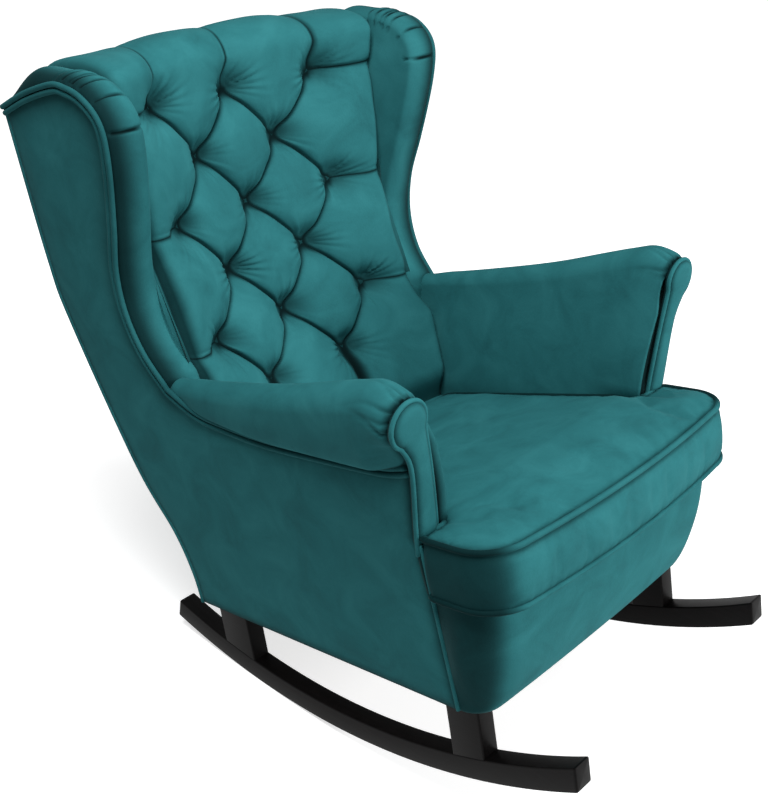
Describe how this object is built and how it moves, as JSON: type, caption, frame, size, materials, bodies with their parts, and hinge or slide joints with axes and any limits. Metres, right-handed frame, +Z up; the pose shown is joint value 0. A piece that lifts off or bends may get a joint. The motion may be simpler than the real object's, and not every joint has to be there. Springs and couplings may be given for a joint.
{
  "type": "rocking chair",
  "caption": "Upholstered wingback rocking chair with a button-tufted back, rolled arms and a loose T-shaped seat cushion, on two curved wooden rockers.",
  "frame": {"origin": "on the floor under the middle of the chair's overall box, at the rest the empty chair settles in", "axes": "+Z up, the chair faces -Y, +X is the sitter's left; the chair mirrors across X = 0"},
  "size_m": [0.7218, 1.065, 1.036],
  "materials": {
    "teal_velvet": "short-pile velvet over padding",
    "black_wood": "black stained, satin lacquer",
    "frame_timber": "sawn timber, unfinished, hidden",
    "plywood": "plywood, unfinished, hidden",
    "steel": "zinc plated wire and bolts",
    "felt": "pressed felt under the cushion",
    "dark_lining": "thin black non-woven lining"
  },
  "bodies": {
    "chair": {"arm_board_left": "plywood", "arm_board_right": "plywood", "arm_front_panel_left": "teal_velvet", "arm_front_panel_right": "teal_velvet", "arm_pad_left": "teal_velvet", "arm_pad_right": "teal_velvet", "back_button_01": "teal_velvet", "back_button_02": "teal_velvet", "back_button_03": "teal_velvet", "back_button_04": "teal_velvet", "back_button_05": "teal_velvet", "back_button_06": "teal_velvet", "back_button_07": "teal_velvet", "back_button_08": "teal_velvet", "back_button_09": "teal_velvet", "back_button_10": "teal_velvet", "back_button_11": "teal_velvet", "back_button_12": "teal_velvet", "back_button_13": "teal_velvet", "back_button_14": "teal_velvet", "back_button_15": "teal_velvet", "back_stile_left": "frame_timber", "back_stile_right": "frame_timber", "back_webbing": "dark_lining", "dust_cover": "dark_lining", "front_border": "teal_velvet", "front_corner_block_left": "frame_timber", "front_corner_block_right": "frame_timber", "front_post_bolt_left": "steel", "front_post_bolt_right": "steel", "front_post_left": "black_wood", "front_post_right": "black_wood", "front_rail": "frame_timber", "inside_back_pad": "teal_velvet", "lower_back_rail": "frame_timber", "outer_back_panel": "teal_velvet", "rear_corner_block_left": "frame_timber", "rear_corner_block_right": "frame_timber", "rear_post_bolt_left": "steel", "rear_post_bolt_right": "steel", "rear_post_left": "black_wood", "rear_post_right": "black_wood", "rear_rail": "frame_timber", "rocker_left": "black_wood", "rocker_right": "black_wood", "seat_deck": "felt", "seat_spring_1": "steel", "seat_spring_2": "steel", "seat_spring_3": "steel", "seat_spring_4": "steel", "side_panel_left": "teal_velvet", "side_panel_right": "teal_velvet", "side_rail_left": "frame_timber", "side_rail_right": "frame_timber", "top_rail": "frame_timber", "wing_board_left": "plywood", "wing_board_right": "plywood", "wing_pad_left": "teal_velvet", "wing_pad_right": "teal_velvet"},
    "cushion": {"seat_cushion": "teal_velvet"}
  },
  "joints": [
    {"name": "cushion_pull", "type": "slide", "parent": "chair", "child": "cushion", "axis": [0, -0.9806, 0.1959], "range_m": [0, 0.25]}
  ]
}
